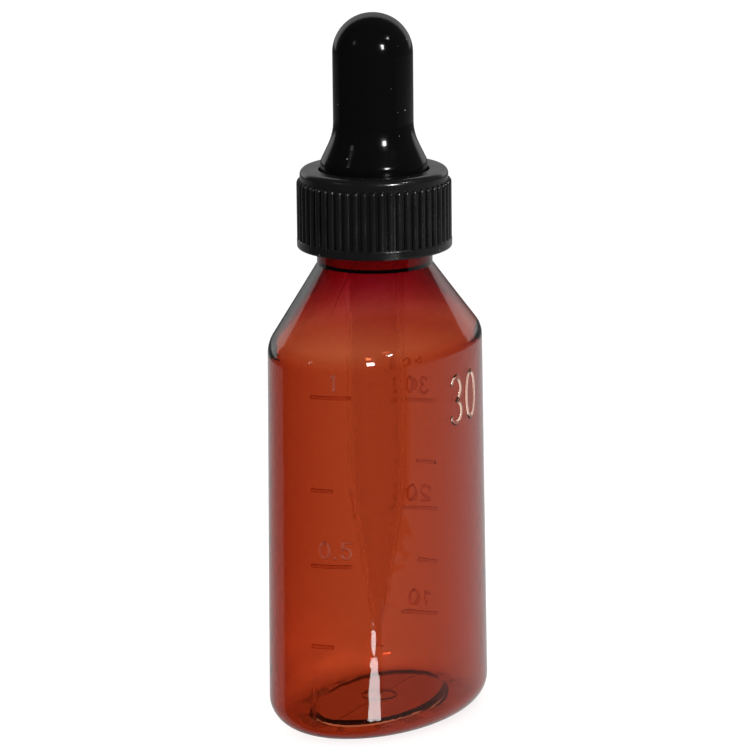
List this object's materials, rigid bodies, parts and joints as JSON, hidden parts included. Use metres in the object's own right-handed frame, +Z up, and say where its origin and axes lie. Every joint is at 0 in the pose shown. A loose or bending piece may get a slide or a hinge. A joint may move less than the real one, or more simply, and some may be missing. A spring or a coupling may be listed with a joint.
{
  "type": "dropper bottle",
  "caption": "Oval graduated ink dropper bottle with a screw neck, ribbed collar, rubber squeeze bulb and tapered glass pipette.",
  "frame": {"origin": "centre of the oval base, on the plane that the bottle stands on", "axes": "+Z up along the neck, X along the long axis of the oval, Y along its short axis"},
  "size_m": [0.038, 0.027, 0.095],
  "materials": {
    "amber_plastic": "clear gloss amber, moulded",
    "black_plastic": "black moulded plastic, satin skirt and polished top",
    "black_rubber": "smooth black rubber with a soft shine",
    "clear_glass": "clear drawn glass"
  },
  "bodies": {
    "bottle": {"bottle": "amber_plastic"},
    "dropper": {"pipette": "clear_glass"},
    "bulb": {"bulb": "black_rubber"},
    "collar": {"cap": "black_plastic"}
  },
  "joints": [
    {"name": "dropper_lift", "type": "slide", "parent": "bottle", "child": "dropper", "axis": [0, 0, 1], "range_m": [0, 0.072]},
    {"name": "collar_turn", "type": "hinge", "parent": "dropper", "child": "bulb", "pos_m": [0, 0, 0.085], "axis": [0, 0, 1], "range_deg": [0, 450]},
    {"name": "collar_rise", "type": "slide", "parent": "bulb", "child": "collar", "axis": [0, 0, 1], "range_m": [0, 0.004]}
  ],
  "couplings": [
    {"joint": "collar_rise", "follows": "collar_turn", "m_per_rad": 0.00050532}
  ]
}
